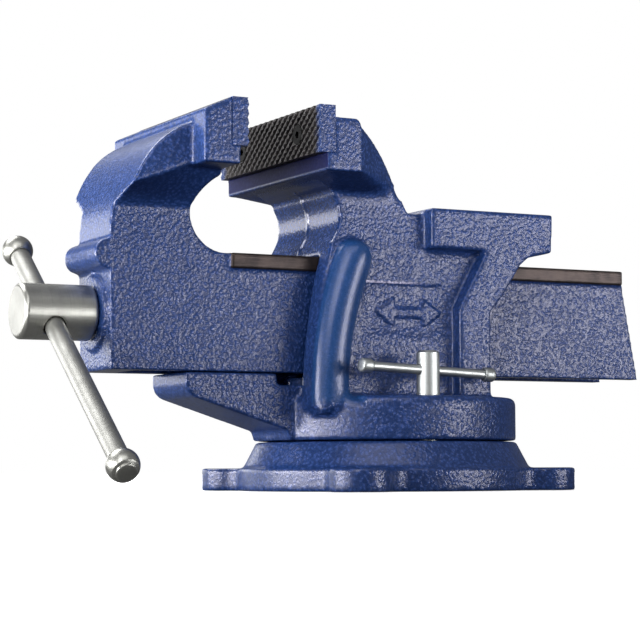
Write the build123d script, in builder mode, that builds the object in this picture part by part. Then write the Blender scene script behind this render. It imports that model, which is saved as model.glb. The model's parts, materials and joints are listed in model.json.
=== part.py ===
from build123d import *
from math import acos, atan2, cos, degrees, radians, sin, sqrt
import os

# Swivel bench vise with 100 mm jaws and a rear anvil.
# Frame: origin on the swivel axis at the underside of the base, +Z up,
# +X along the screw from the handle towards the anvil, Y across the jaws.
# Sizes are millimetres. The jaws stand open by rest_opening.

# --- driving dimensions -----------------------------------------------------
jaw_width = 100.0
rest_opening = 33.0
fixed_face_x = -59.0
moving_face_x = fixed_face_x - rest_opening

screw_z = 75.5
slide_clearance = 0.4

# swivel base
lug_count = 4
lug_angle = 52.3
lug_width = 27.0
lug_thickness = 10.0
base_disc_radius = 66.0
cone_radius = 64.5
base_top_radius = 58.5
base_top_z = 21.5
bolt_circle_radius = 71.3
bolt_hole_radius = 5.5
pivot_bore_radius = 12.1
hub_radius = 17.0
hub_bottom_z = 8.0
hollow_radius = 30.0
hollow_depth = 13.0

# round foot of the fixed body and its swivel locks
foot_radius = base_top_radius
foot_bottom_z = base_top_z + 0.5
foot_top_z = 41.0
spigot_radius = 12.0
spigot_bottom_z = hub_bottom_z - 0.4
lock_x, lock_y = -5.2, 47.0
lock_radius = sqrt(lock_x**2 + lock_y**2)
lock_head_radius = 5.0
lock_head_top_z = 60.5
lock_shank_radius = 4.0
lock_bar_z = 52.0
lock_bar_radius = 2.1
lock_bar_half_length = 32.0
lock_bar_angle = 4.0
lock_bar_droop = 2.4
lock_knob_radius = 3.2
t_slot_mouth = 9.4
t_slot_width = 20.0
t_slot_floor_z = 6.5
t_slot_lip_z = 15.0
t_slot_mid_z = (t_slot_floor_z + t_slot_lip_z) / 2
t_nut_side = 17.0
lock_nut_turn = degrees(acos(lock_y / lock_radius))

# slide beam, one casting with the moving jaw
beam_half_width = 18.4
beam_bottom_z = 51.2
beam_top_z = 102.0
beam_front_x = -140.7
beam_rear_top_x = 117.0
beam_rear_bottom_x = 126.5
way_half_width = 20.4
way_height = 6.5
way_front_x = -86.2
channel_half_width = 11.5
channel_top_z = 91.5
channel_front_x = -126.0

# jaw heads
head_half_width = jaw_width / 2
head_bottom_z = 135.6
seat_z = 143.4
plate_top_z = 163.6
plate_thickness = 7.6
plate_stand_out = 3.7
throat_radius = 16.7
throat_z = head_bottom_z - 0.2 - throat_radius
fixed_throat_x = -55.8
moving_throat_x = fixed_throat_x - rest_opening + 1.0
arm_half_width = 38.0
arm_front_half_width = 33.2
flare_bottom_z = 120.3
moving_head_back_x = -112.1

# fixed body
neck_half_width = 30.4
post_half_width = 37.5
post_rear_x = 33.2
anvil_front_x = 3.0
anvil_rear_x = 66.7
anvil_top_z = 124.3
anvil_bottom_z = 106.5
cove_bottom_z = 129.5
buttress_half_width = 8.5
buttress_outer_y = 39.0

# jaw-width sign in its shallow panel on the near side
panel_half_width = 29.5
panel_front_x, panel_rear_x = -27.0, 15.5
panel_bottom_z, panel_top_z = 68.3, 91.0
sign_x, sign_z, sign_half = -5.0, 78.0, 16.0

# jaw plate screws
plate_screw_y = 28.0
plate_screw_z = (seat_z + plate_top_z) / 2
plate_screw_shank = 2.5
plate_screw_head = 4.6

# lead screw, nut and handle
screw_head_radius = 11.8
screw_head_front_x = -175.3
boss_radius = 16.0
boss_front_x = -142.6
journal_radius = 8.0
thread_radius = 8.0
journal_end_x = -106.0
screw_tip_x = 88.0
nut_half_length = 14.0
nut_half_width = 10.5
nut_bottom_z = 46.0
nut_top_z = 88.0
nut_bolt_radius = 5.0
handle_x = -161.7
handle_tilt = 37.4
handle_radius = 4.3
handle_length = 153.8
handle_offset = 28.9
knob_radius = 6.75

os.makedirs("parts", exist_ok=True)


def save(part, name):
    """Label a finished piece and write it as parts/NAME.step."""
    part.label = name
    export_step(part, f"parts/{name}.step")


# --- swivel base ------------------------------------------------------------
with BuildPart() as swivel_base:
    with BuildSketch():
        Circle(base_disc_radius)
        with PolarLocations(0, lug_count, start_angle=lug_angle):
            with Locations((bolt_circle_radius / 2, 0)):
                Rectangle(bolt_circle_radius, lug_width)
        with PolarLocations(bolt_circle_radius, lug_count, start_angle=lug_angle):
            Circle(lug_width / 2)
    extrude(amount=lug_thickness)
    uprights = swivel_base.edges().filter_by(Axis.Z)
    roots = [e for e in uprights if 60**2 < e.center().X ** 2 + e.center().Y ** 2 < 70**2]
    fillet(roots, radius=9.0)
    with BuildSketch(Plane.XZ):
        Polygon(
            (0, 0),
            (cone_radius, 0),
            (cone_radius, lug_thickness),
            (base_top_radius, base_top_z),
            (0, base_top_z),
            align=None,
        )
    revolve(axis=Axis.Z)
    # ring-shaped T-slot for the two clamp nuts, open at the top face
    with BuildSketch(Plane.XZ):
        with Locations((lock_radius, (t_slot_floor_z + t_slot_lip_z) / 2)):
            Rectangle(t_slot_width, t_slot_lip_z - t_slot_floor_z)
        with Locations((lock_radius, (t_slot_lip_z + base_top_z) / 2)):
            Rectangle(t_slot_mouth, base_top_z - t_slot_lip_z + 1)
    revolve(axis=Axis.Z, mode=Mode.SUBTRACT)
    # hollow underside with the pivot hub standing in it
    with BuildSketch():
        Circle(hollow_radius)
    extrude(amount=hub_bottom_z, mode=Mode.SUBTRACT)
    with BuildSketch():
        Circle(hollow_radius)
        Circle(hub_radius, mode=Mode.SUBTRACT)
    extrude(amount=hollow_depth, mode=Mode.SUBTRACT)
    # pivot bore, bench bolt holes and the opening that passes a clamp nut
    with Locations((0, 0, base_top_z)):
        Hole(pivot_bore_radius)
    with Locations((0, 0, lug_thickness)):
        with PolarLocations(bolt_circle_radius, lug_count, start_angle=lug_angle):
            Hole(bolt_hole_radius)
    with BuildSketch():
        with Locations((lock_radius, 0)):
            Circle(t_nut_side * 0.74)
    extrude(amount=t_slot_floor_z + 1, mode=Mode.SUBTRACT)
save(swivel_base.part, "swivel_base")

# --- fixed body: head behind the jaw plate ----------------------------------
head_front_x = fixed_face_x + plate_stand_out
seat_x = fixed_face_x + plate_thickness
head_block_x = -39.0
head_taper_x = -13.0
with BuildPart() as fixed_head:
    with BuildSketch(Plane.XZ):
        with BuildLine():
            Polyline(
                (-12.6, head_bottom_z),
                (head_front_x, head_bottom_z),
                (head_front_x, seat_z),
                (seat_x, seat_z),
                (seat_x, 158.7),
                (-40.5, 158.7),
                (head_block_x, 157.2),
                (head_block_x, 155.5),
            )
            ThreePointArc((head_block_x, 155.5), (-22.5, 145.8), (-12.6, head_bottom_z))
        make_face()
    extrude(amount=head_half_width, both=True)
    with BuildSketch(Plane.XY):
        with BuildLine():
            Polyline(
                (head_front_x, head_half_width),
                (head_block_x, head_half_width),
                (head_taper_x, neck_half_width),
                (0, neck_half_width),
                (0, -neck_half_width),
                (head_taper_x, -neck_half_width),
                (head_block_x, -head_half_width),
                (head_front_x, -head_half_width),
                close=True,
            )
        make_face()
    extrude(amount=200, mode=Mode.INTERSECT)

# cove that carries the head's overhang down to the neck
with BuildPart() as fixed_cove:
    with BuildSketch(Plane.XY.offset(cove_bottom_z)):
        with Locations((-25.0, 0)):
            Rectangle(30.0, 2 * neck_half_width)
    with BuildSketch(Plane.XY.offset(head_bottom_z + 0.5)):
        Polygon(
            (head_front_x, head_half_width - 0.5),
            (head_front_x, 0.5 - head_half_width),
            (head_block_x, 0.5 - head_half_width),
            (head_taper_x, -neck_half_width),
            (head_taper_x, neck_half_width),
            (head_block_x, head_half_width - 0.5),
            align=None,
        )
    loft(ruled=True)

# rounded buttress on the near side; the far one is its mirror image
with BuildPart() as buttress:
    with BuildSketch(Plane.XZ.offset(22.0)):
        with BuildLine():
            ThreePointArc((-45.0, 30.0), (-43.3, 66.0), (-33.5, 100.5))
            offset(amount=buttress_half_width)
        make_face()
    extrude(amount=buttress_outer_y - 22.0)
    fillet(buttress.faces().sort_by(Axis.Y)[0].edges(), radius=5.5)
    with Locations((0, -30, 15.4)):
        Box(200, 60, 40, mode=Mode.SUBTRACT)

with BuildPart() as fixed_body:
    # round foot and pivot spigot
    with Locations((0, 0, (foot_bottom_z + foot_top_z) / 2)):
        Cylinder(foot_radius, foot_top_z - foot_bottom_z)
    fillet(fixed_body.edges().sort_by(Axis.Z)[-1], radius=3.0)
    # neck, cheeks and anvil in side view
    with BuildSketch(Plane.XZ):
        with BuildLine():
            Spline(
                (-43.0, 108.0),
                (-44.5, 102.0),
                (-47.0, 93.0),
                (-49.6, 79.0),
                (-51.3, 62.0),
                (-52.0, 46.0),
            )
            Polyline(
                (-52.0, 46.0),
                (-52.0, foot_top_z - 8),
                (post_rear_x, foot_top_z - 8),
                (post_rear_x, 79.0),
                (40.2, 87.0),
                (49.4, 100.8),
                (53.8, 104.3),
                (anvil_rear_x - 0.5, 107.0),
                (anvil_rear_x, anvil_top_z),
                (anvil_front_x, anvil_top_z),
                (anvil_front_x, 122.0),
                (-5.0, 122.0),
                (-12.6, head_bottom_z),
                (-42.0, head_bottom_z),
                (-42.0, 108.0),
                (-43.0, 108.0),
            )
        make_face()
    extrude(amount=post_half_width, both=True)
    # front view: upright sides above the round foot
    with BuildSketch(Plane.YZ):
        Polygon(
            (-80, 0),
            (80, 0),
            (80, foot_top_z),
            (neck_half_width, foot_top_z),
            (neck_half_width, 200),
            (-neck_half_width, 200),
            (-neck_half_width, foot_top_z),
            (-80, foot_top_z),
            align=None,
        )
    extrude(amount=200, both=True, mode=Mode.INTERSECT)
    # shallow panel with sloped upper and lower edges
    with BuildSketch(Plane.YZ.offset(panel_front_x)):
        Polygon(
            (-neck_half_width - 1.0, panel_bottom_z - 0.7),
            (-panel_half_width, panel_bottom_z + 0.6),
            (-panel_half_width, panel_top_z - 0.6),
            (-neck_half_width - 1.0, panel_top_z + 0.7),
            align=None,
        )
    extrude(amount=panel_rear_x - panel_front_x, mode=Mode.SUBTRACT)
    # anvil block and rear post stand proud of the neck
    with BuildSketch(Plane.XZ):
        Polygon(
            (anvil_front_x, anvil_top_z),
            (anvil_rear_x, anvil_top_z),
            (anvil_rear_x - 0.5, 107.0),
            (53.8, 104.3),
            (49.4, 100.8),
            (40.2, 87.0),
            (post_rear_x, 79.0),
            (post_rear_x, foot_top_z - 8),
            (17.0, foot_top_z - 8),
            (17.0, 80.5),
            (31.5, anvil_bottom_z),
            (anvil_front_x, anvil_bottom_z),
            align=None,
        )
    extrude(amount=post_half_width, both=True)
    add(fixed_head.part)
    add(fixed_cove.part)
    add(buttress.part)
    add(mirror(buttress.part, about=Plane.XZ))
    # nose under the beam
    with BuildSketch(Plane.XZ):
        with BuildLine():
            Polyline(
                (-101.5, 39.8),
                (-58.8, 26.2),
                (-58.0, foot_bottom_z),
                (-30.0, foot_bottom_z),
                (-30.0, beam_bottom_z - slide_clearance),
                (-106.5, beam_bottom_z - slide_clearance),
                (-106.5, 45.5),
            )
            RadiusArc((-106.5, 45.5), (-101.5, 39.8), -7.0)
        make_face()
    extrude(amount=beam_half_width, both=True)
    with Locations((0, 0, (spigot_bottom_z + foot_bottom_z) / 2 + 1)):
        Cylinder(spigot_radius, foot_bottom_z - spigot_bottom_z + 2)
    # throat
    with BuildSketch(Plane.XZ):
        with Locations((fixed_throat_x, throat_z)):
            Circle(throat_radius)
    extrude(amount=head_half_width + 1, both=True, mode=Mode.SUBTRACT)
    # tunnel for the beam, with a relief slot at the front
    with BuildSketch(Plane.YZ):
        with Locations((0, (beam_bottom_z + beam_top_z) / 2)):
            Rectangle(
                2 * (way_half_width + slide_clearance),
                beam_top_z - beam_bottom_z + 2 * slide_clearance,
            )
    extrude(amount=110, both=True, mode=Mode.SUBTRACT)
    with Locations((-51.0, 0, 48.4)):
        Box(25.0, 2 * (way_half_width + slide_clearance), 5.0, mode=Mode.SUBTRACT)
    # lock screw holes
    with Locations((lock_x, -lock_y, foot_top_z), (lock_x, lock_y, foot_top_z)):
        Hole(lock_shank_radius + 0.4, depth=foot_top_z - foot_bottom_z + 2)
    # pocket and bolt hole that hold the lead nut
    with Locations((0, 0, (nut_bottom_z + 60) / 2)):
        Box(2 * nut_half_length + 0.4, 2 * nut_half_width + 0.4, 60 - nut_bottom_z, mode=Mode.SUBTRACT)
    with Locations((0, 0, 60)):
        Hole(nut_bolt_radius + 0.1, depth=60 - spigot_bottom_z + 1)
    # tapped holes behind the jaw plate
    with Locations(
        Location((seat_x, -plate_screw_y, plate_screw_z), (0, -90, 0)),
        Location((seat_x, plate_screw_y, plate_screw_z), (0, -90, 0)),
    ):
        Hole(plate_screw_shank + 0.05, depth=10.5)
    # raised jaw-width sign in the panel: one double-headed arrow
    with BuildSketch(Plane.XZ.offset(panel_half_width - 0.5)):
        with Locations((sign_x, sign_z)):
            Rectangle(2 * sign_half - 12.0, 3.4)
        for side in (-1, 1):
            Polygon(
                (sign_x + side * sign_half, sign_z),
                (sign_x + side * (sign_half - 8.5), sign_z + 6.0),
                (sign_x + side * (sign_half - 8.5), sign_z - 6.0),
                align=None,
            )
    extrude(amount=1.4)
save(fixed_body.part, "fixed_body")

# --- moving jaw casting -----------------------------------------------------
moving_ledge_x = moving_face_x - plate_stand_out
moving_seat_x = moving_face_x - plate_thickness
arm_curve = [
    (-140.9, 109.0),
    (-140.0, 118.5),
    (-134.2, 134.0),
    (-126.6, 144.8),
    (-120.3, 150.0),
    (-112.0, 154.0),
]
# the flare's upper edge climbs towards the jaw
flare_slope = degrees(atan2(7.4, 24.6))
flare_plane = Plane(Location((-118.0, 0, 135.4), (0, -flare_slope, 0)))
with BuildPart() as arm_flare:
    with BuildSketch(Plane.XY.offset(flare_bottom_z)):
        with Locations((-118.0, 0)):
            Rectangle(60.0, 2 * beam_half_width)
    with BuildSketch(flare_plane):
        Rectangle(60.0, 2 * arm_half_width)
    loft(ruled=True)
    with BuildSketch(flare_plane):
        Rectangle(60.0, 2 * arm_half_width)
    extrude(amount=40.0)
    # outer quarter-round of the arm
    with BuildSketch(Plane.XZ):
        with BuildLine():
            Spline(*arm_curve)
            Polyline(
                arm_curve[-1],
                (moving_seat_x - 0.4, 154.0),
                (moving_seat_x - 0.4, seat_z - 0.4),
                (moving_ledge_x, seat_z - 0.4),
                (moving_ledge_x, 109.0),
                arm_curve[0],
            )
        make_face()
    extrude(amount=arm_half_width + 1, both=True, mode=Mode.INTERSECT)
    # the arm narrows towards its front
    with BuildSketch(Plane.XY.offset(100.0)):
        Polygon(
            (-90.0, -arm_half_width),
            (moving_head_back_x, -arm_half_width),
            (-142.0, -arm_front_half_width),
            (-142.0, arm_front_half_width),
            (moving_head_back_x, arm_half_width),
            (-90.0, arm_half_width),
            align=None,
        )
    extrude(amount=70.0, mode=Mode.INTERSECT)

with BuildPart() as moving_jaw:
    # beam and front upright in side view
    with BuildSketch(Plane.XZ):
        with BuildLine():
            Spline(*arm_curve[:3])
            Polyline(
                arm_curve[2],
                (moving_ledge_x, arm_curve[2][1]),
                (moving_ledge_x, throat_z),
                (moving_throat_x, throat_z),
                (moving_throat_x, beam_top_z),
                (beam_rear_top_x, beam_top_z),
                (beam_rear_bottom_x, beam_bottom_z),
                (beam_front_x, beam_bottom_z),
                arm_curve[0],
            )
        make_face()
    extrude(amount=beam_half_width, both=True)
    # rounded lip across the front and the boss around the screw
    with Locations(Location((beam_front_x - 0.8, 0, 99.6), (90, 0, 0))):
        Cylinder(6.2, 2 * beam_half_width)
    with Locations(Location(((boss_front_x - 130.0) / 2, 0, screw_z), (0, 90, 0))):
        Cylinder(boss_radius, -130.0 - boss_front_x)
    add(arm_flare.part)
    # head block behind the plate
    with BuildSketch(Plane.XZ):
        Polygon(
            (moving_head_back_x, head_bottom_z),
            (moving_ledge_x, head_bottom_z),
            (moving_ledge_x, seat_z),
            (moving_seat_x, seat_z),
            (moving_seat_x, plate_top_z - 0.2),
            (moving_head_back_x, 157.9),
            align=None,
        )
    extrude(amount=head_half_width, both=True)
    # machined ways along the top of the beam sides
    with BuildSketch(Plane.XZ):
        with Locations(((way_front_x + beam_rear_top_x) / 2, beam_top_z - way_height / 2)):
            Rectangle(beam_rear_top_x - way_front_x, way_height)
    extrude(amount=way_half_width, both=True)
    with BuildSketch(Plane.XZ):
        with Locations((moving_throat_x, throat_z)):
            Circle(throat_radius)
    extrude(amount=head_half_width + 1, both=True, mode=Mode.SUBTRACT)
    # channel for screw and nut, open below and at the rear
    with BuildSketch(Plane.XZ):
        Polygon(
            (channel_front_x, beam_bottom_z - 1),
            (channel_front_x, channel_top_z),
            (beam_rear_bottom_x + 5, channel_top_z),
            (beam_rear_bottom_x + 5, beam_bottom_z - 1),
            align=None,
        )
    extrude(amount=channel_half_width, both=True, mode=Mode.SUBTRACT)
    # bearing hole for the screw
    with Locations(Location((beam_front_x, 0, screw_z), (0, 90, 0))):
        Cylinder(journal_radius + 0.08, 40.0, mode=Mode.SUBTRACT)
    with Locations(
        Location((moving_seat_x, -plate_screw_y, plate_screw_z), (0, 90, 0)),
        Location((moving_seat_x, plate_screw_y, plate_screw_z), (0, 90, 0)),
    ):
        Hole(plate_screw_shank + 0.05, depth=10.5)
save(moving_jaw.part, "moving_jaw")


# --- jaw plates and their screws --------------------------------------------
def jaw_plate(face_x, inward):
    """Plate with its gripping face at face_x; inward is the way into the casting."""
    with BuildPart() as plate:
        with Locations((face_x + inward * plate_thickness / 2, 0, plate_screw_z)):
            Box(plate_thickness, jaw_width, plate_top_z - seat_z)
        chamfer(plate.edges().filter_by(Axis.Z), length=0.6)
        tilt = 90 * -inward
        with Locations(
            Location((face_x, -plate_screw_y, plate_screw_z), (0, tilt, 0)),
            Location((face_x, plate_screw_y, plate_screw_z), (0, tilt, 0)),
        ):
            CounterSinkHole(plate_screw_shank + 0.1, plate_screw_head + 0.1, depth=plate_thickness + 1)
    return plate.part


def plate_screws(face_x, inward):
    """Two countersunk screws with hexagon sockets, heads just under the face."""
    with BuildPart() as screws:
        for y in (-plate_screw_y, plate_screw_y):
            with BuildSketch(Plane.XZ.offset(-y)):
                head_x = face_x + inward * 0.3
                neck_x = head_x + inward * (plate_screw_head - plate_screw_shank)
                end_x = face_x + inward * (plate_thickness + 8.5)
                Polygon(
                    (head_x, plate_screw_z),
                    (head_x, plate_screw_z + plate_screw_head - 0.3),
                    (neck_x, plate_screw_z + plate_screw_shank),
                    (end_x, plate_screw_z + plate_screw_shank),
                    (end_x, plate_screw_z),
                    align=None,
                )
            revolve(axis=Axis((0, y, plate_screw_z), (1, 0, 0)))
            with BuildSketch(Plane((face_x, y, plate_screw_z), x_dir=(0, 1, 0), z_dir=(inward, 0, 0))):
                RegularPolygon(1.7, 6)
            extrude(amount=2.8, mode=Mode.SUBTRACT)
    return screws.part


save(jaw_plate(fixed_face_x, 1), "fixed_jaw_plate")
save(plate_screws(fixed_face_x, 1), "fixed_jaw_screws")
save(jaw_plate(moving_face_x, -1), "moving_jaw_plate")
save(plate_screws(moving_face_x, -1), "moving_jaw_screws")

# --- lead screw, thrust collar, pin and nut ---------------------------------
collar_x = channel_front_x + 0.4
collar_length = 8.0
pin_x = collar_x + collar_length / 2
with BuildPart() as lead_screw:
    with BuildSketch(Plane.XZ):
        Polygon(
            (screw_head_front_x, screw_z),
            (screw_head_front_x, screw_z + screw_head_radius - 1.2),
            (screw_head_front_x + 1.2, screw_z + screw_head_radius),
            (boss_front_x - 1.2, screw_z + screw_head_radius),
            (boss_front_x - 0.4, screw_z + screw_head_radius - 0.8),
            (boss_front_x - 0.4, screw_z + journal_radius),
            (journal_end_x, screw_z + journal_radius),
            (journal_end_x, screw_z + thread_radius),
            (screw_tip_x - 2, screw_z + thread_radius),
            (screw_tip_x, screw_z + thread_radius - 2),
            (screw_tip_x, screw_z),
            align=None,
        )
    revolve(axis=Axis((0, 0, screw_z), (1, 0, 0)))
    with Locations(Location((handle_x, 0, screw_z), (handle_tilt - 90, 0, 0))):
        Cylinder(handle_radius + 0.5, 40.0, mode=Mode.SUBTRACT)
    with Locations((pin_x, 0, screw_z)):
        Cylinder(1.55, 40.0, mode=Mode.SUBTRACT)
save(lead_screw.part, "lead_screw")

with BuildPart() as thrust_collar:
    with Locations(Location((pin_x, 0, screw_z), (0, 90, 0))):
        Cylinder(10.8, collar_length)
        Cylinder(journal_radius + 0.05, collar_length + 1, mode=Mode.SUBTRACT)
    with Locations((pin_x, 0, screw_z)):
        Cylinder(1.55, 40.0, mode=Mode.SUBTRACT)
save(thrust_collar.part, "thrust_collar")

with BuildPart() as collar_pin:
    with Locations((pin_x, 0, screw_z)):
        Cylinder(1.5, 20.6)
save(collar_pin.part, "collar_pin")

with BuildPart() as lead_nut:
    with Locations((0, 0, (nut_bottom_z + nut_top_z) / 2)):
        Box(2 * nut_half_length, 2 * nut_half_width, nut_top_z - nut_bottom_z)
    fillet(lead_nut.edges().filter_by(Axis.X).group_by(Axis.Z)[-1], radius=4.0)
    with Locations(Location((0, 0, screw_z), (0, 90, 0))):
        Cylinder(thread_radius + 0.15, 40.0, mode=Mode.SUBTRACT)
    with Locations((0, 0, nut_bottom_z + 8)):
        Cylinder(nut_bolt_radius + 0.05, 18.0, mode=Mode.SUBTRACT)
save(lead_nut.part, "lead_nut")

# --- pivot bolt and washer ---------------------------------------------------
washer_thickness = 3.0
with BuildPart() as pivot_washer:
    with Locations((0, 0, spigot_bottom_z - washer_thickness / 2)):
        Cylinder(15.5, washer_thickness)
        Cylinder(nut_bolt_radius + 0.2, washer_thickness + 1, mode=Mode.SUBTRACT)
save(pivot_washer.part, "pivot_washer")

bolt_seat_z = spigot_bottom_z - washer_thickness
with BuildPart() as pivot_bolt:
    with BuildSketch(Plane.XY.offset(0.6)):
        RegularPolygon(8.5, 6)
    extrude(amount=bolt_seat_z - 0.6)
    with Locations((0, 0, bolt_seat_z + 27)):
        Cylinder(nut_bolt_radius, 54.0)
save(pivot_bolt.part, "pivot_bolt")

# --- handle bar and knobs ----------------------------------------------------
handle_along = (0, cos(radians(handle_tilt)), sin(radians(handle_tilt)))
handle_plane = Plane((handle_x, 0, screw_z), x_dir=(1, 0, 0), z_dir=handle_along)
lower_end = -handle_offset - handle_length / 2
upper_end = -handle_offset + handle_length / 2
with BuildPart() as handle_bar:
    with BuildSketch(handle_plane.offset(lower_end - 3)):
        Circle(handle_radius)
    extrude(amount=handle_length + 6)
save(handle_bar.part, "handle_bar")


def knob(plane, radius, bore, outward):
    """Turned ball with a flat end and a blind bore on the inner side."""
    flat = radius * 0.72
    with BuildPart() as ball:
        with Locations(plane.location):
            Sphere(radius)
            with Locations((0, 0, outward * (flat + radius))):
                Box(4 * radius, 4 * radius, 2 * radius, mode=Mode.SUBTRACT)
            with Locations((0, 0, outward * flat)):
                Cylinder(radius * 0.56, radius * 0.16)
            with Locations((0, 0, outward * (radius * 0.45 - radius))):
                Cylinder(bore, 2 * radius, mode=Mode.SUBTRACT)
    return ball.part


save(knob(handle_plane.offset(lower_end), knob_radius, handle_radius + 0.02, -1), "handle_knob_lower")
save(knob(handle_plane.offset(upper_end), knob_radius, handle_radius + 0.02, 1), "handle_knob_upper")


# --- swivel locks, one on each side -----------------------------------------
def lock_parts(side, label):
    """Lock screw, tommy bar, end knobs and clamp nut; side is -1 near, 1 far."""
    y = side * lock_y
    turn = radians(lock_bar_angle)
    droop = radians(lock_bar_droop)
    along = (cos(turn) * cos(droop), -side * sin(turn) * cos(droop), -sin(droop))
    bar_plane = Plane((lock_x, y, lock_bar_z), x_dir=(0, 1, 0), z_dir=along)
    with BuildPart() as lock_screw:
        with BuildSketch(Plane.XZ.offset(-y)):
            Polygon(
                (lock_x, 8.5),
                (lock_x + lock_shank_radius, 8.5),
                (lock_x + lock_shank_radius, foot_top_z + 0.3),
                (lock_x + lock_head_radius, foot_top_z + 0.3),
                (lock_x + lock_head_radius, lock_head_top_z - 1),
                (lock_x + lock_head_radius - 1, lock_head_top_z),
                (lock_x, lock_head_top_z),
                align=None,
            )
        revolve(axis=Axis((lock_x, y, 0), (0, 0, 1)))
        with Locations(bar_plane.location):
            Cylinder(lock_bar_radius + 0.15, 30.0, mode=Mode.SUBTRACT)
    save(lock_screw.part, f"{label}_lock_screw")
    with BuildPart() as lock_bar:
        with BuildSketch(bar_plane.offset(-lock_bar_half_length - 1.2)):
            Circle(lock_bar_radius)
        extrude(amount=2 * lock_bar_half_length + 2.4)
    save(lock_bar.part, f"{label}_lock_bar")
    with BuildPart() as lock_knobs:
        add(knob(bar_plane.offset(-lock_bar_half_length), lock_knob_radius, lock_bar_radius + 0.02, -1))
        add(knob(bar_plane.offset(lock_bar_half_length), lock_knob_radius, lock_bar_radius + 0.02, 1))
    save(lock_knobs.part, f"{label}_lock_knobs")
    with BuildPart() as clamp_nut:
        with Locations(Location((lock_x, y, t_slot_mid_z), (0, 0, side * lock_nut_turn))):
            Box(t_nut_side, t_nut_side, t_slot_lip_z - t_slot_floor_z - 0.8)
            Cylinder(lock_shank_radius + 0.1, 20.0, mode=Mode.SUBTRACT)
    save(clamp_nut.part, f"{label}_clamp_nut")


lock_parts(-1, "near")
lock_parts(1, "far")
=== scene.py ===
import json
import math

import bmesh
import bpy
import numpy as np
from mathutils import Matrix, Vector


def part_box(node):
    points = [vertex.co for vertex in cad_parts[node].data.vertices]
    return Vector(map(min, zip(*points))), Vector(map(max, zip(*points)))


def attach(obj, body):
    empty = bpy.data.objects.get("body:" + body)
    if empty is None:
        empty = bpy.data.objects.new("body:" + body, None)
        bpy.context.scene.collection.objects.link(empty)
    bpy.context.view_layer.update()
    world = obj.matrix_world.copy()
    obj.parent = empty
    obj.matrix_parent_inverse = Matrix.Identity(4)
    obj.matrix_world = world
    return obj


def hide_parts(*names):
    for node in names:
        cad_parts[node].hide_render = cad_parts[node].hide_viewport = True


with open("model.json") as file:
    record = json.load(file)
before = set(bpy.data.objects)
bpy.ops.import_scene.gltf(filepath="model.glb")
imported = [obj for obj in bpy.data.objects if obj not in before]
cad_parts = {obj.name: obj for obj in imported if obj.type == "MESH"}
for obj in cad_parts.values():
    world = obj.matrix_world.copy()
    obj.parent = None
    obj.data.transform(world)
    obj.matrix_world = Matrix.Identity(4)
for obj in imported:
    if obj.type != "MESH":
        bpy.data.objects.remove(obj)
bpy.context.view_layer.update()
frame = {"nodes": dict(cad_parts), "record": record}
slots = {part["node"]: part["material_slot"] for part in frame["record"]["subparts"]}

# --- places on the vise, in metres, at rest ---------------------------------------
SCREW_Z = 0.0755
HANDLE_X = -0.1617
HANDLE_TILT = math.radians(37.4)
LOWER_KNOB, UPPER_KNOB = 0.1058, 0.0480  # from the screw's axis, along the bar
LOCK_X, LOCK_Y, LOCK_BAR_Z = -0.0052, 0.047, 0.052
LOCK_BAR_HALF = 0.032
LOCK_BAR_TURN, LOCK_BAR_DROOP = math.radians(4.0), math.radians(2.4)
HEAD_BOTTOM_Z = 0.1356
SEAT_Z = 0.1434
FIXED_SEAT_X, MOVING_SEAT_X = -0.0514, -0.0996
LEDGE_X = -0.0553  # front of the fixed jaw's head, below its plate
THROAT_X, THROAT_Z = -0.0440, 0.1190  # middle of the block that holds the fixed jaw's curved throat wall
PANEL_FRONT_X, PANEL_REAR_X = -0.0270, 0.0155
PANEL_BOTTOM_Z, PANEL_TOP_Z = 0.0683, 0.0910
PANEL_Y = -0.0295  # floor of the sign's panel, on the near side
SIGN_X, SIGN_Z, SIGN_HALF = -0.005, 0.078, 0.016
BEAM_FRONT_X, BEAM_TOP_Z, BEAM_HALF = -0.1407, 0.1020, 0.0184
WAY_FRONT_X, WAY_BOTTOM_Z = -0.0862, 0.0955
JAW_HALF, NECK_HALF = 0.0500, 0.0304
PLATE_SCREW_Y = 0.028

# centre line of the buttress ribs: x = RIB_X + RIB_LEAN * rise + RIB_BEND * rise ** 2,
# where rise is the height above RIB_Z
RIB_X, RIB_Z = -0.045, 0.030
RIB_LEAN, RIB_BEND = -0.0737, 3.36
RIB_HALF = 0.0085

# --- casting quality ----------------------------------------------------------------
VOXEL = 0.0008
SCREW_VOXEL = 0.0005
ROUNDS = 4
SOFT_ROUNDS = 40


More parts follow.
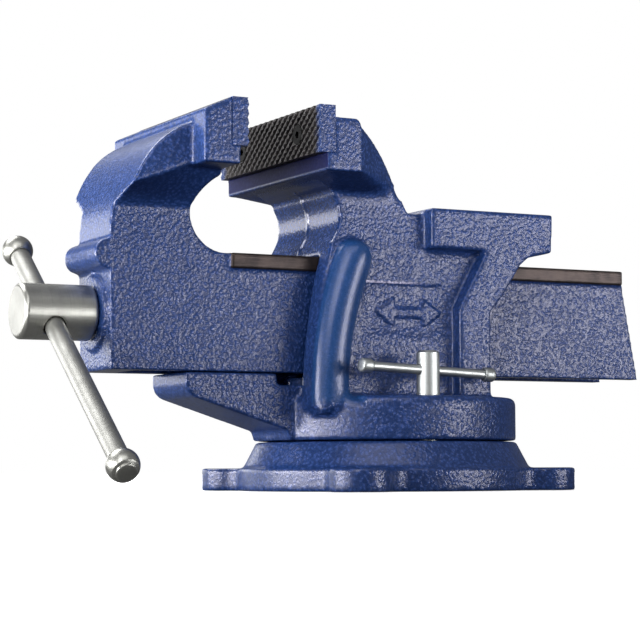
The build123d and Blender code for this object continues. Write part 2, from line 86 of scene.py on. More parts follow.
# --- shader helper ------------------------------------------------------------------
class Tree:
    """One material's node tree, with short ways to add and link nodes."""

    def __init__(self, name):
        self.material = bpy.data.materials.new(name)
        self.material.use_nodes = True
        self.nodes = self.material.node_tree.nodes
        self.links = self.material.node_tree.links
        self.shader = self.nodes["Principled BSDF"]
        coordinates = self.add("ShaderNodeTexCoord").outputs
        self.where = coordinates["Object"]
        self.facing = coordinates["Normal"]

    def add(self, kind, inputs=None, **settings):
        node = self.nodes.new(kind)
        for key, value in settings.items():
            setattr(node, key, value)
        for key, value in (inputs or {}).items():
            self.put(node.inputs[key], value)
        return node

    def put(self, socket, value):
        if isinstance(value, bpy.types.NodeSocket):
            self.links.new(value, socket)
        else:
            socket.default_value = value

    def set(self, **values):
        """Principled BSDF inputs, with _ for the spaces in their names."""
        for key, value in values.items():
            self.put(self.shader.inputs[key.replace("_", " ")], value)

    def math(self, operation, a, b=0.0):
        return self.add("ShaderNodeMath", {0: a, 1: b}, operation=operation).outputs[0]

    def plus(self, a, b):
        return self.math("ADD", a, b)

    def minus(self, a, b):
        return self.math("SUBTRACT", a, b)

    def times(self, first, *others):
        for other in others:
            first = self.math("MULTIPLY", first, other)
        return first

    def size(self, value):
        return self.math("ABSOLUTE", value)

    def within(self, value, centre, reach):
        """1 where value lies less than reach from centre, else 0."""
        return self.math("LESS_THAN", self.size(self.minus(value, centre)), reach)

    def ramp(self, value, low, high, a=0.0, b=1.0):
        """a up to low, b from high, and smooth between them."""
        inputs = {"Value": value, "From Min": low, "From Max": high, "To Min": a, "To Max": b}
        return self.add("ShaderNodeMapRange", inputs, interpolation_type="SMOOTHSTEP").outputs["Result"]

    def fade(self, value, low, high):
        """1 up to low, 0 from high."""
        return self.ramp(value, low, high, 1.0, 0.0)

    def mix(self, share, a, b):
        """Colour a, going over to b with share."""
        inputs = {"Factor": share, "A": a, "B": b}
        return self.mixed("RGBA", inputs)

    def mixed(self, kind, inputs):
        """Result of a mix node for the given kind of data."""
        node = self.add("ShaderNodeMix", data_type=kind)
        for key, value in inputs.items():
            self.put(node.inputs[key], value)
        return node.outputs["Result"]

    def vector(self, operation, a, b):
        return self.add("ShaderNodeVectorMath", {0: a, 1: b}, operation=operation).outputs[0]

    def split(self, vector):
        return tuple(self.add("ShaderNodeSeparateXYZ", {0: vector}).outputs)

    def noise(self, scale, detail, vector=None, output="Fac"):
        inputs = {"Vector": self.where if vector is None else vector, "Scale": scale, "Detail": detail}
        return self.add("ShaderNodeTexNoise", inputs).outputs[output]

    def bump(self, height, distance, strength):
        inputs = {"Height": height, "Distance": distance, "Strength": strength}
        return self.add("ShaderNodeBump", inputs).outputs[0]


def paint(obj, material):
    """Give obj this one material, in place of the ones it had."""
    obj.data.materials.clear()
    obj.data.materials.append(material)


# --- blue enamel --------------------------------------------------------------------
DEEP_BLUE = (0.006, 0.022, 0.090, 1)
MID_BLUE = (0.022, 0.055, 0.200, 1)
PALE_BLUE = (0.060, 0.085, 0.250, 1)
RIB_BLUE = (0.006, 0.045, 0.150, 1)
RIM_HIGHLIGHT_LAVENDER = (0.42, 0.40, 0.55, 1)
PLATE_SHADOW_BLUE = (0.010, 0.010, 0.052, 1)
UNDERSIDE_SHADE_BLUE = (0.004, 0.007, 0.030, 1)


def hammered(t):
    """Hammertone pattern: small hills, 0 to 1, and a noise that makes the surface swell."""
    shift = t.vector("MULTIPLY", t.noise(420.0, 2.0, output="Color"), (0.0022, 0.0022, 0.0022))
    place = {"Vector": t.vector("ADD", t.where, shift), "Scale": 670.0, "Smoothness": 0.45}
    cells = t.add("ShaderNodeTexVoronoi", place, feature="SMOOTH_F1").outputs["Distance"]
    return t.ramp(cells, 0.0, 0.70, 1.0, 0.0), t.noise(680.0, 1.0)


def ledge_shadow_mask(t, x, y, z):
    """Painted shadow of the fixed jaw's overhanging plate, on the flat of the head just below the plate."""
    tall = t.ramp(z, HEAD_BOTTOM_Z + 0.0008, HEAD_BOTTOM_Z + 0.0018)
    tall = t.times(tall, t.fade(z, SEAT_Z, SEAT_Z + 0.0006))
    return t.times(tall, t.within(x, LEDGE_X, 0.0018), t.within(y, 0.0, JAW_HALF - 0.0004))


def wall_mask(t, x, y, z, facing_x):
    """Throat wall of the fixed jaw, where the enamel ran down and dried slicker."""
    block = t.times(t.within(x, THROAT_X, 0.0140), t.within(z, THROAT_Z, 0.0165))
    return t.times(block, t.within(y, 0.0, NECK_HALF - 0.0002), t.fade(facing_x, -0.5, -0.2))


def panel_rim_highlight_mask(t, x, y, z, swell):
    """Top edge of the sign's panel, where a thin highlight is painted along it."""
    line = t.ramp(z, PANEL_TOP_Z - 0.0005, PANEL_TOP_Z - 0.0001)
    line = t.times(line, t.fade(z, PANEL_TOP_Z + 0.0004, PANEL_TOP_Z + 0.0008))
    run = t.times(t.math("GREATER_THAN", x, PANEL_FRONT_X - 0.0002), t.fade(x, -0.010, 0.006))
    return t.times(line, run, t.math("LESS_THAN", y, PANEL_Y + 0.0010), t.ramp(swell, 0.35, 0.55, 0.35, 1.0))


def rib_mask(t, x, y, z):
    """Buttress ribs on both sides of the fixed body, which are smooth and deep blue."""
    rise = t.minus(z, RIB_Z)
    bend = t.times(rise, t.plus(t.times(rise, RIB_BEND), RIB_LEAN))
    off = t.size(t.minus(t.minus(x, RIB_X), bend))
    tall = t.times(t.ramp(z, 0.036, 0.040), t.fade(z, 0.108, 0.113))
    out = t.ramp(t.size(y), NECK_HALF + 0.0001, NECK_HALF + 0.0021)
    return t.times(t.fade(off, RIB_HALF + 0.0005, RIB_HALF + 0.0030), out, tall)


def relief_share(t, x, z, facing_y, wall, rib):
    """Strength of the relief: full on upright sides and on the beam's front end, less on sloped faces,
    the jaw heads, the foot of the base and the ribs, and at least a little on the throat wall."""
    share = t.ramp(t.size(facing_y), 0.72, 0.97, 0.25, 1.0)
    share = t.times(share, t.ramp(z, 0.105, 0.135, 1.0, 0.42), t.ramp(z, 0.010, 0.014, 0.6, 1.0))
    front_end = t.times(t.math("LESS_THAN", x, BEAM_FRONT_X + 0.0047), t.fade(z, 0.087, 0.095))
    share = t.math("MAXIMUM", share, t.math("MAXIMUM", front_end, t.times(wall, 0.15)))
    return t.times(share, t.minus(1.0, t.times(rib, 0.85)))


def bare_ways(t, colour, rough, normal):
    """The same look with bare machined iron along the top of the beam's sides."""
    x, y, z = t.split(t.where)
    strip = t.math("GREATER_THAN", z, WAY_BOTTOM_Z - 0.0001)
    strip = t.times(strip, t.math("LESS_THAN", z, BEAM_TOP_Z + 0.0005))
    outside = t.math("GREATER_THAN", t.size(y), BEAM_HALF + 0.0003)
    edge = t.math("MAXIMUM", outside, t.math("GREATER_THAN", z, BEAM_TOP_Z - 0.0004))
    bare = t.times(strip, edge, t.math("GREATER_THAN", x, WAY_FRONT_X))
    blotch = t.noise(180.0, 5.0)
    lines = t.noise(1.0, 3.0, t.vector("MULTIPLY", t.where, (60.0, 2400.0, 2400.0)))
    iron_tone = t.mix(t.ramp(blotch, 0.3, 0.7), (0.014, 0.0105, 0.0095, 1), (0.046, 0.034, 0.029, 1))
    iron_tone = t.mix(t.ramp(lines, 0.45, 0.7, 0.0, 0.5), iron_tone, (0.060, 0.047, 0.042, 1))
    machined = t.bump(t.plus(lines, blotch), 0.00008, 0.6)
    rough = t.plus(t.times(rough, t.minus(1.0, bare)), t.times(bare, 0.42))
    normal = t.mixed("VECTOR", {"Factor": bare, "A": normal, "B": machined})
    t.set(Metallic=t.times(bare, 0.7))
    return t.mix(bare, colour, iron_tone), rough, normal


def enamel(with_ways=False):
    """Blue hammertone enamel of the castings. Masks use the rest place, so they hold at every pose."""
    t = Tree("blue_enamel")
    x, y, z = t.split(t.where)
    facing_x, facing_y, facing_z = t.split(t.facing)
    hills, swell = hammered(t)
    coarse = t.noise(65.0, 3.0)
    fine = t.noise(2600.0, 2.0)
    ledge_shadow = ledge_shadow_mask(t, x, y, z)
    wall = wall_mask(t, x, y, z, facing_x)
    rib = rib_mask(t, x, y, z)
    # painted shade: the downward faces of the jaw heads are coloured darker and given less gloss
    head_underside_shade = t.times(t.fade(facing_z, -0.9, -0.5), t.ramp(z, 0.120, 0.126))

    colour = t.mix(hills, DEEP_BLUE, MID_BLUE)
    colour = t.mix(t.times(t.ramp(hills, 0.5, 1.0), t.ramp(fine, 0.4, 0.7, 0.1, 0.6)), colour, PALE_BLUE)
    colour = t.mix(t.ramp(coarse, 0.5, 0.75, 0.0, 0.3), colour, DEEP_BLUE)
    # painted shadow under the fixed jaw's overhanging plate, which is also made rougher and duller
    colour = t.mix(t.times(ledge_shadow, 0.85), colour, PLATE_SHADOW_BLUE)
    colour = t.mix(t.times(head_underside_shade, 0.7), colour, UNDERSIDE_SHADE_BLUE)
    # painted highlight: a thin pale line along the top edge of the sign's panel
    colour = t.mix(panel_rim_highlight_mask(t, x, y, z, swell), colour, RIM_HIGHLIGHT_LAVENDER)
    colour = t.mix(t.times(rib, 0.6), colour, RIB_BLUE)

    rough = t.plus(t.ramp(fine, 0.3, 0.7, 0.27, 0.35), t.times(ledge_shadow, 0.3))
    rough = t.minus(rough, t.times(wall, 0.11))
    height = t.plus(t.plus(t.times(hills, 0.8), swell), coarse)
    normal = t.bump(height, 0.00025, relief_share(t, x, z, facing_y, wall, rib))
    dull = t.times(t.math("MAXIMUM", ledge_shadow, head_underside_shade), 0.40)
    gloss = t.plus(t.minus(0.5, dull), t.times(wall, 0.25))
    if with_ways:
        colour, rough, normal = bare_ways(t, colour, rough, normal)
    t.set(Base_Color=colour, Roughness=rough, Normal=normal)
    t.set(Specular_Tint=(0.88, 0.86, 1.0, 1), Specular_IOR_Level=gloss)
    return t.material


# --- steels and iron ----------------------------------------------------------------
def steel(name, tint, rough, axis, scratch=0.5):
    """Turned or drawn steel: fine rings across axis, duller end faces, light wear and a few dark marks."""
    t = Tree(name)
    fine_along = tuple(2600.0 if i == axis else 70.0 for i in range(3))
    rings = t.noise(1.0, 4.0, t.vector("MULTIPLY", t.where, fine_along))
    blotch = t.noise(140.0, 4.0)
    dark = tuple(c * 0.55 for c in tint) + (1,)
    dull = tuple(c * 0.24 for c in tint) + (1,)
    colour = t.mix(t.ramp(blotch, 0.35, 0.75, 0.0, 0.45), tint + (1,), dark)
    colour = t.mix(t.ramp(rings, 0.5, 0.75, 0.0, 0.3), colour, dark)
    colour = t.mix(t.ramp(t.size(t.split(t.facing)[axis]), 0.90, 0.99, 0.0, 0.55), colour, dull)
    roughness = t.plus(t.times(rings, 0.16), t.plus(t.times(blotch, 0.12), rough))
    t.set(Base_Color=colour, Metallic=1.0, Roughness=roughness, Normal=t.bump(rings, 0.00004, scratch))
    return t.material


def blackened():
    """Blackened jaw steel: near black in the grooves, lighter on the knurl's tips where they wear, and
    painted shade, black and without gloss, in the screw pits.
    """
    t = Tree("jaw_steel")
    wear_and_pit_shade = t.add("ShaderNodeAttribute", attribute_name="wear_and_pit_shade").outputs["Fac"]
    blotch = t.noise(220.0, 5.0)
    colour = t.mix(t.ramp(blotch, 0.3, 0.7), (0.016, 0.014, 0.014, 1), (0.042, 0.037, 0.036, 1))
    colour = t.mix(t.ramp(wear_and_pit_shade, 0.6, 1.0, 0.0, 0.7), colour, (0.058, 0.050, 0.058, 1))
    # painted shade: the screw pits are coloured near black, with no metal and no gloss
    outside_pit_shade = t.ramp(wear_and_pit_shade, -0.8, -0.4)
    colour = t.mix(outside_pit_shade, (0.002, 0.002, 0.002, 1), colour)
    # enamel overspray that reaches round from the painted ends
    reach = t.size(t.split(t.where)[1])
    spray = t.ramp(t.plus(reach, t.times(blotch, 0.008)), 0.0485, 0.0530)
    colour = t.mix(spray, colour, (0.022, 0.050, 0.170, 1))
    metal = t.times(t.minus(1.0, spray), 0.6, outside_pit_shade)
    t.set(Base_Color=colour, Metallic=metal, Roughness=t.ramp(blotch, 0.3, 0.7, 0.40, 0.56))
    t.set(Normal=t.bump(blotch, 0.00012, 0.5), Specular_IOR_Level=t.times(outside_pit_shade, 0.5))
    return t.material


def iron():
    """Rough greasy nut iron."""
    t = Tree("nut_iron")
    grain = t.noise(700.0, 5.0)
    colour = t.mix(t.ramp(grain, 0.3, 0.7), (0.05, 0.045, 0.04, 1), (0.15, 0.13, 0.12, 1))
    rough = t.ramp(grain, 0.3, 0.7, 0.35, 0.6)
    t.set(Base_Color=colour, Metallic=0.7, Roughness=rough, Normal=t.bump(grain, 0.0002, 0.5))
    return t.material


# --- castings -----------------------------------------------------------------------
def soften(points, a, b, free, wide):
    """Laplacian smoothing along the edges a-b, first with free and then with wide. Each of these is
    (share that a point moves, rounds)."""
    count = len(points)
    degree = np.bincount(a, minlength=count) + np.bincount(b, minlength=count)
    for share, turns in free, wide:
        for _ in range(turns):
            total = np.empty_like(points)
            for k in range(3):
                total[:, k] = np.bincount(a, points[b, k], count) + np.bincount(b, points[a, k], count)
            points = points + 0.5 * share[:, None] * (total / degree[:, None] - points)
    return points


def casting(node, body, voxel, rounds, keep=None, soft=None, move=None):
    """Remeshed copy of a CAD piece that stands for it, with softened cast edges. keep(points) is 1 where
    edges stay crisp, soft(points) 1 where corners flow into wide fillets, and move(points) shifts points."""
    obj = bpy.data.objects.new(node + "_casting", frame["nodes"][node].data.copy())
    bpy.context.scene.collection.objects.link(obj)
    remesh = obj.modifiers.new("remesh", "REMESH")
    remesh.mode = "VOXEL"
    remesh.voxel_size = voxel
    remesh.use_smooth_shade = True
    mesh = bpy.data.meshes.new_from_object(obj.evaluated_get(bpy.context.evaluated_depsgraph_get()))
    obj.modifiers.clear()
    obj.data = mesh
    count = len(mesh.vertices)
    points = np.empty(count * 3, np.float32)
    mesh.vertices.foreach_get("co", points)
    points = points.reshape(-1, 3).astype(float)
    ends = np.empty(len(mesh.edges) * 2, np.int32)
    mesh.edges.foreach_get("vertices", ends)
    free = 1.0 - keep(points) if keep else np.ones(count)
    wide = soft(points) if soft else np.zeros(count)
    points = soften(points, ends[0::2], ends[1::2], (free, rounds), (wide, SOFT_ROUNDS if soft else 0))
    if move:
        points = points + move(points)
    mesh.vertices.foreach_set("co", points.astype(np.float32).ravel())
    mesh.update()
    mesh.polygons.foreach_set("use_smooth", [True] * len(mesh.polygons))
    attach(obj, body)
    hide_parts(node)
    return obj


def crisp_slide(points):
    """Machined parts of the moving jaw: the ways and the seat of its plate."""
    x, y, z = points.T
    ways = (x > WAY_FRONT_X - 0.0013) & (z > WAY_BOTTOM_Z - 0.0010)
    ways = ways & (z < BEAM_TOP_Z + 0.0010) & (np.abs(y) > BEAM_HALF - 0.0009)
    seat = (x > MOVING_SEAT_X - 0.0019) & (z > SEAT_Z - 0.0014)
    return (ways | seat).astype(float)


def crisp_body(points):
    """Parts of the fixed body that stay crisp: the raised sign and the seat of the plate."""
    x, y, z = points.T
    sign = (np.abs(x - SIGN_X) < SIGN_HALF + 0.002) & (np.abs(z - SIGN_Z) < 0.008)
    sign = sign & (y < PANEL_Y + 0.0005) & (y > PANEL_Y - 0.0025)
    seat = (x < FIXED_SEAT_X + 0.0019) & (z > SEAT_Z - 0.0014)
    return (sign | seat).astype(float)


def off_rib(x, z):
    """Distance in x from the curved centre line of the buttress ribs."""
    rise = z - RIB_Z
    return x - RIB_X - RIB_LEAN * rise - RIB_BEND * rise * rise


def soft_body(points):
    """Corners that flow into wide fillets: under the head and the anvil, round the panel, and the ribs."""
    x, y, z = points.T
    side = np.abs(y)
    cove = (z > 0.1245) & (z < 0.1335) & (side < 0.0365) & (x > -0.040) & (x < -0.008)
    anvil = (z > 0.1025) & (z < 0.1085) & (side < 0.0345) & (x > 0.004) & (x < 0.0300)
    skin = np.abs(y - PANEL_Y) < 0.0015
    upright = (np.abs(x - PANEL_FRONT_X) < 0.0040) | (np.abs(x - PANEL_REAR_X) < 0.0040)
    upright = upright & (z > PANEL_BOTTOM_Z - 0.0040) & (z < PANEL_TOP_Z + 0.0025)
    foot = (np.abs(z - PANEL_BOTTOM_Z) < 0.0040) & (x > PANEL_FRONT_X - 0.0040) & (x < PANEL_REAR_X + 0.0040)
    rib = (side > NECK_HALF + 0.0014) & (np.abs(off_rib(x, z)) < RIB_HALF + 0.0015)
    rib = rib & (z > 0.0355) & (z < 0.111)
    return (cove | anvil | skin & (upright | foot) | rib).astype(float)


def seam_and_crown(points):
    """Thin mould seam down the middle of the throat wall, and a rounder crown on the buttress ribs."""
    x, y, z = points.T
    throat = (x > -0.046) & (x < -0.034) & (z > 0.1035) & (z < 0.134)
    ridge = np.where(throat, 0.00055 * np.exp(-((y / 0.0009) ** 2)), 0.0)
    off = off_rib(x, z)
    crown = 0.0022 * np.clip(off / RIB_HALF, -1, 1) ** 2
    crown = crown * (np.abs(off) < RIB_HALF + 0.0013) * (z < 0.111) * np.clip(-x / 0.01, 0, 1)
    crown = crown * np.clip((np.abs(y) - 0.034) / 0.004, 0, 1) * np.clip((z - 0.036) / 0.004, 0, 1)
    return np.stack([-ridge, -np.sign(y) * crown, np.zeros_like(x)], -1)


def thread(points):
    """Right-hand trapezoid thread, 4 mm pitch, cut into the plain shank behind the journal."""
    pitch, depth, root, front, rear = 0.004, 0.0017, 0.0074, -0.104, 0.0865
    x, y, z = points.T
    z = z - SCREW_Z
    radius = np.hypot(y, z)
    turn = (x / pitch - np.arctan2(z, y) / (2 * math.pi)) % 1.0
    profile = np.clip((0.36 - np.abs(turn - 0.5)) / 0.16, 0, 1)
    run_out = np.clip((x - front) / 0.003, 0, 1) * np.clip((rear - x) / 0.003, 0, 1)
    scale = -depth * profile * run_out * (radius > root) / np.maximum(radius, 0.001)
    return np.stack([np.zeros_like(x), y * scale, z * scale], -1)


# --- turned knobs -------------------------------------------------------------------
def new_piece(name, verts, faces):
    """Object from verts and faces, with doubled points merged and the faces turned outwards."""
    mesh = bpy.data.meshes.new(name)
    mesh.from_pydata(verts, [], faces)
    bm = bmesh.new()
    bm.from_mesh(mesh)
    bmesh.ops.remove_doubles(bm, verts=bm.verts, dist=1e-7)
    bmesh.ops.recalc_face_normals(bm, faces=bm.faces)
    bm.to_mesh(mesh)
    bm.free()
    obj = bpy.data.objects.new(name, mesh)
    bpy.context.scene.collection.objects.link(obj)
    return obj


def turned(node, body, spots, profile):
    """Lathe-turned knobs, one at each (centre, outward axis) of spots.
    profile: (radius, along the axis) in millimetres, from axis to axis."""
    around = 48
    verts, faces = [], []
    for centre, axis in spots:
        side = axis.orthogonal().normalized()
        other = axis.cross(side)
        first = len(verts)
        for radius, along in profile:
            for k in range(around):
                angle = 2 * math.pi * k / around
                out = (side * math.cos(angle) + other * math.sin(angle)) * radius
                verts.append(centre + (axis * along + out) / 1000)
        for i in range(len(profile) - 1):
            for k in range(around):
                this, after = first + i * around, (k + 1) % around
                faces.append([this + k, this + after, this + around + after, this + around + k])
    obj = new_piece(node + "_turned", verts, faces)
    obj.data.polygons.foreach_set("use_smooth", [True] * len(obj.data.polygons))
    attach(obj, body)
    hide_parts(node)
    paint(obj, looks[slots[node]])


def ball_outline(radius, bore, flat, disc):
    """Ball with a groove and a flat round disc at its outer end, bored blind on the inner side."""
    inner = -math.sqrt(radius**2 - (bore + 0.4) ** 2)
    outline = [(0.0, 0.45 * radius), (bore, 0.45 * radius), (bore, inner + 0.05), (bore + 0.4, inner)]
    start, stop = math.acos(inner / radius), math.acos((flat - 0.9) / radius)
    outline += [(radius * math.sin(a), radius * math.cos(a)) for a in np.linspace(start, stop, 28)[1:]]
    outline += [(disc + 0.15, flat - 0.75), (disc - 0.1, flat - 0.45), (disc + 0.1, flat - 0.15)]
    outline += [(disc, flat + 0.15), (disc - 0.3, flat + 0.4), (disc - 0.8, flat + 0.5), (0.0, flat + 0.5)]
    return outline


def handle_knobs():
    """Grooved balls on both ends of the handle bar."""
    along = Vector((0, math.cos(HANDLE_TILT), math.sin(HANDLE_TILT)))
    pivot = Vector((HANDLE_X, 0, SCREW_Z))
    ball = ball_outline(radius=6.75, bore=4.32, flat=4.86, disc=4.3)
    turned("handle_knob_lower", "handle", [(pivot - along * LOWER_KNOB, -along)], ball)
    turned("handle_knob_upper", "handle", [(pivot + along * UPPER_KNOB, along)], ball)


def lock_knobs():
    """Short rounded barrels on the ends of both lock bars."""
    barrel = [(0.0, 1.4), (2.12, 1.4), (2.12, -2.7), (2.4, -2.9), (2.8, -2.75), (3.06, -2.2), (3.18, -1.2)]
    barrel += [(3.2, 0.0), (3.18, 1.0), (3.04, 1.9), (2.7, 2.4), (2.2, 2.55), (0.0, 2.55)]
    level = math.cos(LOCK_BAR_DROOP)
    for label, side in (("near", -1), ("far", 1)):
        across = -side * math.sin(LOCK_BAR_TURN) * level
        along = Vector((math.cos(LOCK_BAR_TURN) * level, across, -math.sin(LOCK_BAR_DROOP)))
        middle = Vector((LOCK_X, side * LOCK_Y, LOCK_BAR_Z))
        spots = [(middle + way * along * LOCK_BAR_HALF, way * along) for way in (-1, 1)]
        turned(label + "_lock_knobs", label + "_bar", spots, barrel)


# --- knurled jaw plates -------------------------------------------------------------
def knurl(gy, gz, middle_z):
    """Crossed V-grooves, deeper one way, and two countersunk screw pits: the depth of the cut at each point,
    and its wear, which is 1 on the tips and 0 in the deepest grooves; below 0 it marks the pits, where the
    shader paints shade."""
    pitch, depth, lean = 0.0031, 0.0008, math.radians(36.7)
    pit_radius, pit_depth, hole_radius, hole_depth = 0.0047, 0.0024, 0.0024, 0.0064

    def groove(v):
        return np.abs((v / pitch) % 1.0 - 0.5) * 2

    one = groove(gy * math.sin(lean) + gz * math.cos(lean))
    two = groove(gy * math.sin(lean) - gz * math.cos(lean))
    cut = depth * (1 - np.clip(np.minimum(one, two * 0.62 + 0.38) / 0.8, 0, 1))
    for hole_y in (-PLATE_SCREW_Y, PLATE_SCREW_Y):
        far = np.hypot(gy - hole_y, gz - middle_z)
        cut = np.where(far < pit_radius, np.clip(pit_radius + 0.0004 - far, 0.0, pit_depth), cut)
        cut = np.where(far < hole_radius, hole_depth, cut)
    return cut, 1 - cut / depth


def knurled(node, body, sign):
    """Plate with a knurled gripping face and enamel on its two ends. sign points out of that face along X."""
    step = 0.00029
    low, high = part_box(node)
    back, front = (low.x, high.x) if sign > 0 else (high.x, low.x)
    ys = np.linspace(low.y, high.y, round((high.y - low.y) / step) + 1)
    zs = np.linspace(low.z, high.z, round((high.z - low.z) / step) + 1)
    gy, gz = np.meshgrid(ys, zs, indexing="ij")
    cut, wear_and_pit_shade = knurl(gy, gz, (low.z + high.z) / 2)
    points = np.stack([front - sign * cut, gy, gz], -1).reshape(-1, 3)
    index = np.arange(gy.size).reshape(gy.shape)
    quads = np.stack([index[:-1, :-1], index[1:, :-1], index[1:, 1:], index[:-1, 1:]], -1).reshape(-1, 4)
    rim = list(index[:, 0]) + list(index[-1, 1:]) + list(index[-2::-1, -1]) + list(index[0, -2:0:-1])
    rear = points[rim] * (0, 1, 1) + (back, 0, 0)
    n, first = len(rim), gy.size
    faces = quads.tolist()
    faces += [[int(rim[i]), first + i, first + (i + 1) % n, int(rim[(i + 1) % n])] for i in range(n)]
    faces.append([first + i for i in range(n)])
    obj = new_piece(node + "_knurled", np.vstack([points, rear]).tolist(), faces)
    mesh = obj.data
    # wear of the knurl's tips, and the pits, which the shader paints in shade
    shade = mesh.attributes.new("wear_and_pit_shade", "FLOAT", "POINT")
    shade.data.foreach_set("value", np.concatenate([wear_and_pit_shade.ravel(), np.zeros(n)]).astype(np.float32))
    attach(obj, body)
    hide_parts(node)
    paint(obj, looks["jaw_steel"])
    mesh.materials.append(ENAMEL)
    ends = [abs(face.center.y) > JAW_HALF - 0.0001 for face in mesh.polygons]
    ends[: len(quads)] = [False] * len(quads)
    mesh.polygons.foreach_set("material_index", np.array(ends, np.int32))


# --- the vise -----------------------------------------------------------------------
ENAMEL = enamel()
looks = {
    "turned_steel": steel("turned_steel", (0.42, 0.42, 0.39), 0.22, 0),
    "bright_steel": steel("bright_steel", (0.46, 0.48, 0.48), 0.30, 2, 0.3),
    "black_screw": steel("black_screw", (0.016, 0.016, 0.017), 0.45, 0),
    "nut_iron": iron(),
    "jaw_steel": blackened(),
}
BAR_STEEL = steel("bar_steel", (0.36, 0.36, 0.34), 0.34, 2, 0.12)
for node, obj in frame["nodes"].items():
    if slots[node] in looks:
        paint(obj, BAR_STEEL if node == "handle_bar" else looks[slots[node]])

moving = casting("moving_jaw", "slide", VOXEL, ROUNDS, keep=crisp_slide)
paint(moving, enamel(with_ways=True))
fixed = casting("fixed_body", "vise_body", VOXEL, ROUNDS, crisp_body, soft_body, seam_and_crown)
paint(fixed, ENAMEL)
base = casting("swivel_base", "base", VOXEL, ROUNDS)
paint(base, ENAMEL)
screw = casting("lead_screw", "spindle", SCREW_VOXEL, 0, move=thread)
paint(screw, looks[slots["lead_screw"]])
handle_knobs()
lock_knobs()
knurled("fixed_jaw_plate", "vise_body", -1)
knurled("moving_jaw_plate", "slide", 1)


# --- stage --------------------------------------------------------------------------
def area(name, place, target, size, power):
    """White rectangular lamp at place, shining towards target and unseen by the camera."""
    data = bpy.data.lights.new(name, "AREA")
    data.shape = "RECTANGLE"
    data.size, data.size_y = size
    data.energy = power
    lamp = bpy.data.objects.new(name, data)
    bpy.context.scene.collection.objects.link(lamp)
    lamp.location = place
    lamp.rotation_euler = (Vector(target) - Vector(place)).to_track_quat("-Z", "Y").to_euler()
    lamp.visible_camera = False


def softbox(name, azimuth, elevation, size, power):
    """Area light aimed at the middle of the vise, placed by the direction it shines from, in degrees."""
    distance, middle = 1.6, Vector((0, 0, 0.08))
    a, e = math.radians(azimuth), math.radians(elevation)
    towards = Vector((math.cos(e) * math.cos(a), math.cos(e) * math.sin(a), math.sin(e)))
    area(name, middle + distance * towards, middle, size, power)


def table_glow(name, azimuth, power):
    """Bright patch of table top beside the vise, shining upwards."""
    distance, side = 1.2, 1.3
    a = math.radians(azimuth)
    place = Vector((distance * math.cos(a), distance * math.sin(a), 0.001))
    area(name, place, place + Vector((0, 0, 1)), (side, side), power)


def studio_world():
    """White for the camera; for all other rays a dim room, darker below than above."""
    world = bpy.data.worlds.new("studio")
    bpy.context.scene.world = world
    world.use_nodes = True
    nodes, links = world.node_tree.nodes, world.node_tree.links
    seen = nodes["Background"]
    seen.inputs["Color"].default_value = (1, 1, 1, 1)
    seen.inputs["Strength"].default_value = 1.0
    room = nodes.new("ShaderNodeBackground")
    split = nodes.new("ShaderNodeSeparateXYZ")
    links.new(nodes.new("ShaderNodeTexCoord").outputs["Generated"], split.inputs[0])
    rescale = nodes.new("ShaderNodeMapRange")
    rescale.inputs["From Min"].default_value = -1.0
    links.new(split.outputs["Z"], rescale.inputs["Value"])
    shade = nodes.new("ShaderNodeValToRGB")
    stops = shade.color_ramp.elements
    stops[0].position, stops[0].color = 0.45, (0.05, 0.05, 0.055, 1)
    stops[1].position, stops[1].color = 0.95, (0.30, 0.30, 0.31, 1)
    links.new(rescale.outputs["Result"], shade.inputs["Fac"])
    links.new(shade.outputs["Color"], room.inputs["Color"])
    pick = nodes.new("ShaderNodeMixShader")
    links.new(nodes.new("ShaderNodeLightPath").outputs["Is Camera Ray"], pick.inputs["Fac"])
    links.new(room.outputs[0], pick.inputs[1])
    links.new(seen.outputs[0], pick.inputs[2])
    links.new(pick.outputs[0], nodes["World Output"].inputs["Surface"])


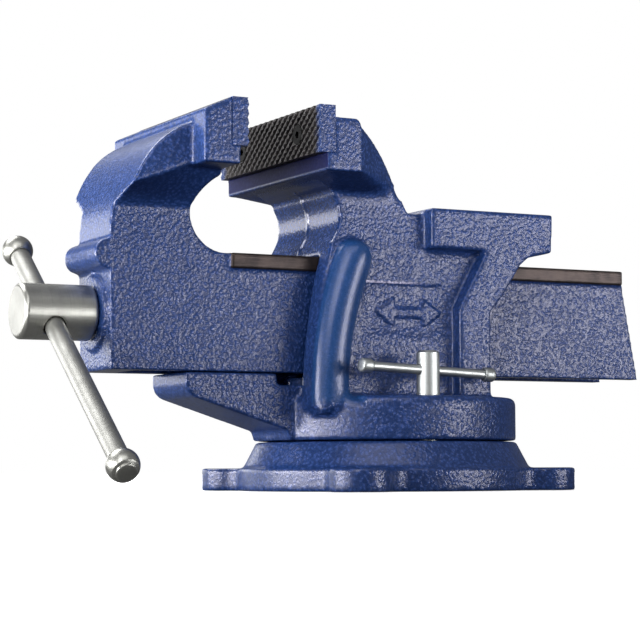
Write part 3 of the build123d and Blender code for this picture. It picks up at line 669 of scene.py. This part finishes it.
def pale_floor():
    """Plain floor that the camera sees as near white, and that throws little light back on the vise."""
    reach = 4
    corners = [(-reach, -reach, 0), (reach, -reach, 0), (reach, reach, 0), (-reach, reach, 0)]
    mesh = bpy.data.meshes.new("floor")
    mesh.from_pydata(corners, [], [(0, 1, 2, 3)])
    floor = bpy.data.objects.new("floor", mesh)
    bpy.context.scene.collection.objects.link(floor)
    floor.location.z = -0.0002
    t = Tree("floor_pale")
    away = t.add("ShaderNodeVectorMath", {0: t.where}, operation="LENGTH").outputs["Value"]
    seen = t.add("ShaderNodeLightPath").outputs["Is Camera Ray"]
    glow = t.times(seen, t.plus(0.55, t.ramp(away, 0.12, 0.5, 0.0, 1.2)))
    t.set(Base_Color=t.mix(seen, (0.12, 0.12, 0.12, 1), (0.95, 0.95, 0.95, 1)), Roughness=0.9)
    t.set(Emission_Color=(1, 1, 1, 1), Emission_Strength=glow)
    mesh.materials.append(t.material)


def camera():
    """Low view from the near left, looking slightly up at the jaws."""
    data = bpy.data.cameras.new("camera")
    data.sensor_width = 36.0
    data.lens = 117.3
    data.clip_start = 0.05
    data.clip_end = 20.0
    cam = bpy.data.objects.new("camera", data)
    bpy.context.scene.collection.objects.link(cam)
    place = Vector((-0.4620, -0.8236, 0.0094))
    yaw, pitch, roll = math.radians(27.5), math.radians(4.1), math.radians(-0.2)
    right = Vector((math.cos(yaw), -math.sin(yaw), 0))
    ahead = Vector((math.sin(yaw) * math.cos(pitch), math.cos(yaw) * math.cos(pitch), math.sin(pitch)))
    turn = Matrix((right, right.cross(ahead), -ahead)).transposed() @ Matrix.Rotation(roll, 3, "Z")
    cam.matrix_world = Matrix.Translation(place) @ turn.to_4x4()
    bpy.context.scene.camera = cam


softbox("front_right", 308, 3.0, (0.80, 0.22), 11.3)
softbox("left_low", 172, 3.7, (1.75, 0.20), 40.0)
softbox("front_left", 225, 25, (0.45, 0.50), 6.0)
softbox("high_front", 240, 48, (1.4, 0.75), 7.0)
softbox("high_back", 120, 48, (1.4, 0.75), 22.0)
softbox("backdrop", 112, 6, (1.5, 0.45), 6.5)
table_glow("table_right", 300, 28.0)
table_glow("table_left", 180, 70.0)
studio_world()
pale_floor()
camera()
bpy.context.scene.view_settings.view_transform = "Standard"
